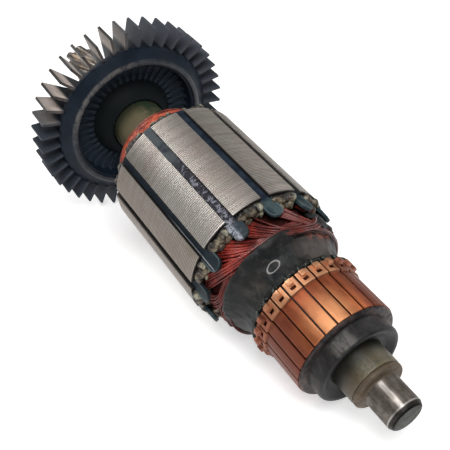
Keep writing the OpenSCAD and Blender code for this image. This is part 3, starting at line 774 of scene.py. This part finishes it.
# A painted highlight runs along one edge of the next wedge round.
painted_edge_highlight = toward(angle, top_turn + SLOT_PITCH + 3.4).step(0.99994, 0.99999)
colour = (painted_edge_highlight * z.step(-16.0, -8.0) * (1.0 - z.step(4.0, 5.0)) * 0.6).blend(
    colour, (0.42, 0.43, 0.45))
wear(fibre, Base_Color=colour,
     Roughness=0.26 + speck * 0.35 + crust * 0.2 + painted_shade_wedges * tongue * 0.2,
     Normal=place.bump(speck, 0.12, 0.6))
for slot in range(SLOTS):
    wedge = copied(strip, SLOT_TURN + SLOT_PITCH * slot)
    fit(wedge, "wedge_strip_%02d" % (slot + 1), fibre, "wedge_plastic",
        "slot_wedge_%02d" % (slot + 1))
bpy.data.objects.remove(strip)

# ---- Commutator hub --------------------------------------
# Black phenolic, moulded round the feet of the bars and pressed on the tube. It shows as
# a thin ring in front of the bars and as a thick collar with a dished face.
hub = turned([
    [5.95, 15.45], [9.3, 15.45], [9.7, 16.55], [10.15, 16.6], [10.15, 30.3], [11.72, 30.32],
    [11.72, 30.6], [11.4, 30.92], [9.9, 30.92], [9.9, 33.9], [9.75, 34.4], [9.35, 34.72],
    [8.7, 34.72], [7.2, 33.65], [5.95, 33.65]], edge=0.12, closed=True)
phenolic, place = new_finish("black_phenolic", rough=0.5, specular=0.26)
angle, radius, z = round_place(place)
cloud = place.noise(0.3, 4, 0.6)
fine = place.noise(2.0, 4, 0.6)
worn = place.noise(0.85, 5, 0.65, (1, 1, 0.40))
collar = z.step(31.0, 31.6) * (1.0 - z.step(34.2, 34.7))
top = toward(angle, 215).step(0.955, 0.992) * collar
colour = cloud.step(0.35, 0.7).blend((0.008, 0.008, 0.009), (0.024, 0.023, 0.023))
colour = (top * (0.25 + worn.step(0.40, 0.60) * 0.75) * 0.85).blend(colour, (0.135, 0.131, 0.120))
colour = (fine.step(0.62, 0.72) * 0.35).blend(colour, (0.10, 0.095, 0.09))
# Painted shade: the dish in the collar's face is darkened.
dish = z.step(33.4, 33.7) * (1.0 - radius.step(8.5, 9.3))
colour = (dish * 0.8).blend(colour, (0.007, 0.008, 0.008))
far_sides = 1.0 - toward(angle, 215).step(0.35, 0.75)
copper_dust = radius.step(9.5, 10.6) * worn.step(0.44, 0.60) * (0.35 + far_sides * 0.65)
colour = (copper_dust * 0.75).blend(colour, (0.16, 0.10, 0.088))
wear(phenolic, Base_Color=colour, Roughness=0.32 + fine * 0.3, Normal=place.bump(fine, 0.08, 0.4))
fit(hub, "commutator_moulding", phenolic, "hub_resin", "commutator_hub")

# ---- Commutator bars -------------------------------------
# Twenty-four bars of hard copper with mica between them. Each has a riser at the back
# with a hook bent down over its lead and fused, and a track that the brushes have browned.
BARS, BAR_TURN = 24, 11.5
BAR_PITCH = 360 / BARS
RISER_RADIUS, TRACK_RADIUS = 12.3, 11.9
bar_angle = math.radians(13.1)
bar = start([
    [10.2, 16.65], [RISER_RADIUS, 16.65], [RISER_RADIUS, 16.9], [RISER_RADIUS, 18.25],
    [RISER_RADIUS, 19.1], [RISER_RADIUS, 19.8], [TRACK_RADIUS, 19.95], [TRACK_RADIUS, 20.2],
    [TRACK_RADIUS, 30.15], [11.75, 30.28], [10.2, 30.28], [10.2, 16.65]], -bar_angle / 2)
bpy.ops.mesh.spin(steps=7, angle=-bar_angle, center=(0, 0, 0), axis=(0, 0, 1))
bpy.ops.mesh.select_all(action="SELECT")
bpy.ops.mesh.remove_doubles(threshold=WELD * MM)
bpy.ops.mesh.fill_holes(sides=0)
bpy.ops.mesh.select_all(action="SELECT")
bpy.ops.mesh.normals_make_consistent(inside=False)
# The hook is raised on the riser, and in front of it is the small opening of the bend.
pick(bar, lambda face: 12.15 * MM < face.center.x and 16.9 * MM < face.center.z < 18.25 * MM
     and abs(face.center.y) < 0.50 * MM, "polygons")
bpy.ops.transform.resize(value=(1, 1.15, 1))
bpy.ops.mesh.extrude_region_move(TRANSFORM_OT_translate={"value": (0.85 * MM, 0, 0)})
bpy.ops.transform.resize(value=(1, 0.90, 0.88))
pick(bar, lambda face: 12.15 * MM < face.center.x < 12.4 * MM
     and 18.25 * MM < face.center.z < 19.1 * MM and abs(face.center.y) < 0.50 * MM, "polygons")
bpy.ops.mesh.inset(thickness=0.04 * MM)
bpy.ops.mesh.extrude_region_move(TRANSFORM_OT_translate={"value": (-0.5 * MM, 0, 0)})
bpy.ops.object.mode_set(mode="OBJECT")
round_off(bar, 0.07, angle=40)

copper, place = new_finish("brushed_copper", metallic=0.85, rough=0.36)
angle, radius, z = round_place(place)
bar_number = place.sum("FLOOR", (angle + math.radians(720 - BAR_TURN)) * (BARS / math.tau))
own = place.add("ShaderNodeTexWhiteNoise", {"noise_dimensions": "1D"}, {"W": bar_number + 0.51})
shifted = place.add("ShaderNodeCombineXYZ", None,
                    {0: angle * 12.0 + bar_number * 3.0, 1: z, 2: own * 5.0})
rub = shifted.noise(1.0, 3, 0.6, (1.6, 0.22, 1))
stain = shifted.noise(0.35, 3, 0.5, (1.0, 0.7, 1))
fine = place.noise(2.6, 3, 0.6)
forward = z.step(19.5, 29.0)
track = z.step(19.8, 20.1)
colour = (stain * 0.7 + rub * 0.3 + own * 0.10).step(0.36, 0.68).blend(
    (0.31, 0.072, 0.036), (0.50, 0.130, 0.055))
# Painted highlight: the bars facing 206° are brightened towards their front ends, most on those
# that face it squarely.
painted_highlight_side = toward(angle, 206).step(0.66, 0.96)
lit = toward(angle, 206).step(0.88, 0.985)
colour = (forward * painted_highlight_side * (0.50 + lit * 0.22 + stain.step(0.30, 0.60) * 0.28)).blend(
    colour, lit.blend((0.78, 0.255, 0.094), (1.0, 0.44, 0.200)))
colour = (rub.step(0.58, 0.72) * 0.15).blend(colour, (0.34, 0.085, 0.045))
# Painted shade: the bars turned away from 206° are darkened, those at 265° most, and the risers
# are bright on the bars facing 206° and dark on the rest.
painted_shade_left_bars = toward(angle, 265).step(0.72, 0.95)
colour = ((1.0 - painted_highlight_side) * 0.64 + painted_shade_left_bars * 0.20).blend(colour, (0.105, 0.031, 0.019))
colour = track.blend(painted_highlight_side.blend((0.27, 0.095, 0.055), (0.86, 0.42, 0.225)), colour)
# Painted shadow: the opening in front of each hook and the riser below its top face are made
# nearly black.
painted_shadow_pit = (1.0 - radius.step(11.9, 12.2)) * (1.0 - track)
colour = painted_shadow_pit.blend(colour, (0.045, 0.012, 0.005))
sunk = 1.0 - radius.step(11.5, 11.88)
colour = sunk.blend(colour, (0.10, 0.024, 0.010))
line = z.step(19.7, 19.85) * (1.0 - z.step(19.95, 20.15))
colour = (line * 0.6).blend(colour, (0.20, 0.07, 0.03))
wear(copper, Base_Color=colour, Roughness=0.30 + rub * 0.25,
     Normal=place.bump(rub * 0.7 + fine * 0.3, 0.05, 0.35))
mica, place = new_finish("baked_mica", rough=0.6)
flake = place.noise(1.5, 3, 0.6)
colour = flake.step(0.35, 0.65).blend((0.026, 0.007, 0.004), (0.070, 0.020, 0.011))
wear(mica, Base_Color=colour, Normal=place.bump(flake, 0.05, 0.4))
refinish("bar_separators", mica)
for i in range(BARS):
    each = copied(bar, BAR_TURN + BAR_PITCH * (i + 0.5))
    fit(each, "copper_bar_%02d" % (i + 1), copper, "bar_copper", "commutator_bar_%02d" % (i + 1))
bpy.data.objects.remove(bar)

# ---- Leads and neck resin --------------------------------
# The coil ends run to the hooks under a cone of black filled resin, laid on over the
# wires while the armature turned. It has sagged, wrinkled and dulled in places.
LEAD = 1.0
paths = []
for i in range(BARS):
    turn = BAR_TURN + BAR_PITCH * (i + 0.5)
    paths.append([[turn - 2.6, 14.9, 11.3], [turn - 1.4, 15.3, 11.8], [turn - 0.4, 15.8, 12.2],
                  [turn, 16.3, 12.45], [turn, 16.8, 12.5], [turn, 17.3, 12.4]])
lead_wires = wires("lead_wires", paths, LEAD)
neck = turned([
    [5.95, 7.9], [13.4, 7.9], [14.35, 8.2], [14.5, 8.8], [14.1, 9.5], [13.5, 10.3],
    [12.95, 11.2], [12.45, 12.1], [12.15, 13.0], [11.95, 13.9], [11.9, 14.7], [11.95, 15.2],
    [12.2, 15.5], [12.2, 16.0], [11.6, 16.35], [5.95, 16.35]], sides=200, edge=0, closed=True)
# The resin stood thickest on one side as it set.
SAG_SIDE = math.radians(222)
for low, high, sag in ((7.8, 9.0, 0.75), (9.2, 9.8, 0.55), (10.0, 10.6, 0.3), (11.0, 11.4, 0.12)):
    pick(neck, lambda vertex: low < vertex.co.z / MM < high and vertex.co.xy.length > 10 * MM)
    bpy.ops.transform.translate(value=(sag * math.cos(SAG_SIDE) * MM,
                                       sag * math.sin(SAG_SIDE) * MM, 0))
    bpy.ops.object.mode_set(mode="OBJECT")
take(neck)
finer = neck.modifiers.new("finer", "SUBSURF")
finer.levels = finer.render_levels = 1
bpy.ops.object.modifier_apply(modifier=finer.name)
# It covers the last coil as far as that coil's crest, and then falls back behind it.
for low, high, grow in ((186, 280, 1.020), (190, 268, 1.014), (140, 184, 0.955)):
    pick(neck, lambda vertex: 7.8 < vertex.co.z / MM < 10.2 and vertex.co.xy.length > 12.5 * MM
         and low < math.degrees(math.atan2(vertex.co.y, vertex.co.x)) % 360 < high)
    widen(grow)
    bpy.ops.object.mode_set(mode="OBJECT")
roughen(neck, 2.6, 0.5)
# Where the last coil turns down, more resin was daubed over the wires.
daubs = [neck]
for turn, high, size in (
        (148, 5.0, 1.5), (141, 6.8, 1.5), (134, 4.6, 1.7), (128, 6.9, 1.6), (150, 8.2, 1.2),
        (120, 5.2, 1.7), (113, 6.8, 1.4)):
    daub = ball(size, 4, (0.55, 1.25, 1.1), (14.75, 0, high), turn)
    roughen(daub, 1.3, 0.7)
    daubs.append(daub)
neck = join(daubs)

filled_resin, place = new_finish("black_filled_resin", rough=0.4, specular=0.28)
angle, radius, z = round_place(place)
cloud = place.noise(0.30, 5, 0.6)
smear = place.noise(0.8, 4, 0.6, (1, 1, 0.6))
fine = place.noise(2.8, 3, 0.6)
colour = cloud.step(0.38, 0.62).blend((0.004, 0.006, 0.007), (0.015, 0.0145, 0.014))
colour = (smear.step(0.52, 0.72) * 0.5).blend(colour, (0.050, 0.046, 0.043))
dulled = place.noise(0.26, 2, 0.45) * 0.7 + smear * 0.3
right = toward(angle, 160).step(0.80, 0.99) * z.step(9.5, 12.0)
colour = (right * dulled.step(0.34, 0.60) * 0.62).blend(colour, (0.13, 0.105, 0.093))
left = toward(angle, 241).step(0.965, 0.998) * z.step(10.5, 12.5)
colour = (left * dulled.step(0.40, 0.62) * 0.6).blend(colour, (0.10, 0.088, 0.076))
# Red shows where the resin lies thin over the wires.
thin = toward(angle, 152).step(0.93, 0.99) * z.step(8.2, 8.8) * (1.0 - z.step(10.4, 11.6))
colour = (thin * smear.step(0.46, 0.54) * 0.8).blend(colour, (0.26, 0.085, 0.062))
behind_bars = z.step(15.0, 15.35)
dot = place.noise(1.7, 2, 0.5)
colour = behind_bars.blend(colour, (0.010, 0.012, 0.011))
colour = (behind_bars * dot.step(0.58, 0.68) * 0.8).blend(colour, (0.13, 0.145, 0.125))
# A ring of white paint, put on when the armature was tested.
RING_TURN = 214.6
turn_off = place.sum("ARCTAN2", place.sum("SINE", angle - math.radians(RING_TURN)),
                     toward(angle, RING_TURN))
east, north = turn_off * radius / 1.62, (z - 12.25 - turn_off * 0.8) / 0.84
away = place.sum("SQRT", east * east + north * north)
ring = away.step(0.78, 0.90) * (1.0 - away.step(0.99, 1.13))
colour = (ring * fine.step(0.20, 0.50) * 0.9).blend(colour, (0.40, 0.39, 0.375))
wear(filled_resin, Base_Color=colour, Roughness=0.28 + smear * 0.4,
     Normal=place.bump(fine * 0.4 + smear * 0.6, 0.25, 0.5))
fit(neck, "neck_of_filled_resin", filled_resin, "neck_resin", "lead_neck")
green_resin, place = new_finish("lead_varnish", rough=0.3)
speck = place.noise(2.0, 4, 0.65)
colour = speck.add("ShaderNodeValToRGB", {"stops": [
    (0.42, (0.006, 0.006, 0.006)), (0.54, (0.020, 0.025, 0.021)), (0.63, (0.08, 0.095, 0.078)),
    (0.74, (0.34, 0.36, 0.30))]}, {0: speck})
wear(green_resin, Base_Color=colour, Roughness=0.2 + speck * 0.3,
     Normal=place.bump(speck, 0.15, 0.6))
fit(lead_wires, "varnished_leads", green_resin, "lead_resin", "lead_ends")

# ---- Cooling fan -----------------------------------------
# One moulding of black glass-filled plastic on the insulated shaft: a hub, a dished disc
# with a raised ring, and forty-one straight blades that stand behind the disc.
disc = turned([
    [5.52, -68.65], [9.2, -68.65], [9.8, -63.7], [18.2, -63.7], [18.6, -60.5], [21.7, -60.7],
    [21.7, -59.75], [20.8, -59.15], [19.2, -57.8], [18.75, -57.45], [18.3, -57.3], [17.85, -57.3],
    [17.65, -57.5], [17.6, -57.95], [17.15, -58.15], [17.0, -58.4], [17.0, -61.7], [16.6, -62.1],
    [11.7, -62.1], [11.2, -61.8], [10.5, -60.3], [9.8, -59.2], [8.9, -58.2], [8.3, -57.6],
    [8.1, -57.2], [7.6, -57.1], [7.3, -57.4], [7.3, -58.4], [5.52, -58.4]],
    sides=4 * BLADES, edge=0.12, closed=True)
blade = start([
    [10.8, -61.6], [11.6, -61.35], [12.9, -61.4], [13.3, -61.75], [16.2, -61.75], [16.9, -60.9],
    [17.6, -59.75], [20.7, -59.75], [21.7, -59.4], [FAN_RADIUS, FAN_FRONT], [FAN_RADIUS, -65.9],
    [18.0, -67.35], [10.8, -68.5], [10.8, -61.6]])
bpy.ops.mesh.remove_doubles(threshold=WELD * MM)
bpy.ops.mesh.select_all(action="SELECT")
bpy.ops.mesh.edge_face_add()
bpy.ops.transform.translate(value=(0, -BLADE_THICKNESS / 2 * MM, 0))
bpy.ops.mesh.extrude_region_move(
    TRANSFORM_OT_translate={"value": (0, BLADE_THICKNESS * MM, 0)})
bpy.ops.mesh.select_all(action="SELECT")
bpy.ops.mesh.normals_make_consistent(inside=False)
pick(blade, lambda vertex: vertex.co.x > 26 * MM)
bpy.ops.transform.resize(value=(1, 0.8, 1))
bpy.ops.object.mode_set(mode="OBJECT")
round_off(blade, 0.1, segments=1)
blades = [copied(blade, 360 / BLADES * (i + 0.5)) for i in range(BLADES)]
bpy.data.objects.remove(blade)
black_plastic, place = new_finish("glass_filled_black", rough=0.42, specular=0.10)
wear(black_plastic, Coat_Roughness=0.3)
angle, radius, z = round_place(place)
cloud = place.noise(0.15, 4, 0.6)
dust_and_sheen_mottle = place.noise(0.5, 5, 0.65)
fine = place.noise(2.4, 3, 0.6)
colour = cloud.step(0.35, 0.7).blend((0.005, 0.010, 0.019), (0.012, 0.020, 0.033))
# Painted sheen: the ring's crest is lightened in a mottle, most on the side at 226°.
crest = z.step(-57.9, -57.5) * radius.step(15.0, 17.0)
shone = toward(angle, 226).step(0.60, 0.99)
colour = (crest * dust_and_sheen_mottle.step(0.30, 0.60) * (0.22 + shone * 0.78) * 0.8).blend(
    colour, (0.165, 0.157, 0.150))
# Dust and a painted sheen lie on the blades of one side. Elsewhere their front edges are lighter
# grey.
dust_and_sheen = radius.step(21.6, 23.4) * toward(angle, 222).step(0.72, 0.93)
colour = (dust_and_sheen * (0.45 + dust_and_sheen_mottle * 0.95) * (1.0 - radius.step(23.0, 28.0) * 0.5)).blend(
    colour, (0.80, 0.70, 0.63))
outer_end = radius.step(26.75, 26.9)
colour = (outer_end * dust_and_sheen).blend(colour, (0.045, 0.043, 0.040))
front_edge = (z - radius * 0.132 + 62.16).step(-0.30, -0.05) * radius.step(21.6, 22.2)
colour = (front_edge * (1.0 - dust_and_sheen) * 0.8).blend(colour, (0.070, 0.080, 0.096))
colour = (front_edge * dust_and_sheen * 0.95).blend(colour, (0.008, 0.008, 0.010))
hub_part = 1.0 - radius.step(16.4, 17.2)
colour = (hub_part * 0.8).blend(colour, (0.036, 0.051, 0.070))
blades_out = radius.step(21.6, 22.2) * (1.0 - dust_and_sheen)
colour = (blades_out * 0.6).blend(colour, (0.060, 0.070, 0.088))
# The blades on the side at 150° are lightened.
lighter_blade_side = toward(angle, 150).step(0.45, 0.95)
colour = (blades_out * lighter_blade_side * 0.6).blend(colour, (0.090, 0.098, 0.115))
# Painted shade: the hub inside the ring is made almost black.
boss = 1.0 - radius.step(11.0, 11.8)
colour = (boss * 0.9).blend(colour, (0.0035, 0.0055, 0.0045))
# Painted sheen: a faint light patch lies on the hub nose on the side at 212°.
painted_soft_sheen = toward(angle, 212).step(0.88, 0.995) * boss * radius.step(8.3, 9.2)
colour = (painted_soft_sheen * 0.3).blend(colour, (0.016, 0.017, 0.017))
wear(black_plastic, Base_Color=colour, Coat_Weight=0.10 - hub_part * 0.10 + crest * 0.35,
     Roughness=0.40 + fine * 0.2 + hub_part * 0.2 - crest * 0.12,
     Normal=place.bump(fine, 0.06, 0.4))
fit(join([disc] + blades), "black_cooling_fan", black_plastic, "fan_plastic", "cooling_fan")

# ---- Studio ----------------------------------------------
# A white floor under soft lamps, with the camera above and in front of
# the commutator, looking along the shaft towards the fan.
scene.view_settings.view_transform = "Standard"

world = bpy.data.worlds.new("studio_air")
scene.world = world
world.use_nodes = True
world.node_tree.nodes["Background"].inputs["Color"].default_value = (1.0, 1.0, 1.0, 1.0)
world.node_tree.nodes["Background"].inputs["Strength"].default_value = 0.20

bpy.ops.object.select_all(action="DESELECT")
bpy.ops.mesh.primitive_plane_add(size=3.0, location=(0, 0, 0))
floor = bpy.context.object
floor.name = "floor"
paper = bpy.data.materials.new("white_paper")
paper.use_nodes = True
wear(paper, Base_Color=(0.82, 0.82, 0.82), Roughness=0.9, Emission_Color=(1.0, 1.0, 1.0))
seen = Flow(paper.node_tree, None).add("ShaderNodeLightPath")
rays = seen.link.node.outputs
for ray in ("Is Glossy Ray", "Is Transmission Ray"):
    seen = seen + Flow(paper.node_tree, rays[ray])
wear(paper, Emission_Strength=seen * 0.55)
floor.data.materials.append(paper)

camera_data = bpy.data.cameras.new("camera")
camera_data.lens = 56.92
camera_data.sensor_width = 36.0
camera_data.clip_start = 0.01
camera = bpy.data.objects.new("camera", camera_data)
camera.location = (0.12631, -0.08057, 0.10909)
camera.rotation_euler = (math.radians(57.102), math.radians(-2.009), math.radians(56.488))
scene.collection.objects.link(camera)
scene.camera = camera

lamps = (
    ("key_lamp", (0.20, -0.12, 0.36), 0.20, 0.95),
    ("side_lamp", (-0.33, -0.20, 0.35), 0.24, 1.0),
    ("back_lamp", (0.10, 0.45, 0.35), 0.30, 0.7),
)
for name, spot, size, power in lamps:
    data = bpy.data.lights.new(name, "AREA")
    data.size = size
    data.energy = power
    lamp = bpy.data.objects.new(name, data)
    lamp.location = spot
    lamp.rotation_euler = Vector(spot).to_track_quat("Z", "Y").to_euler()
    scene.collection.objects.link(lamp)
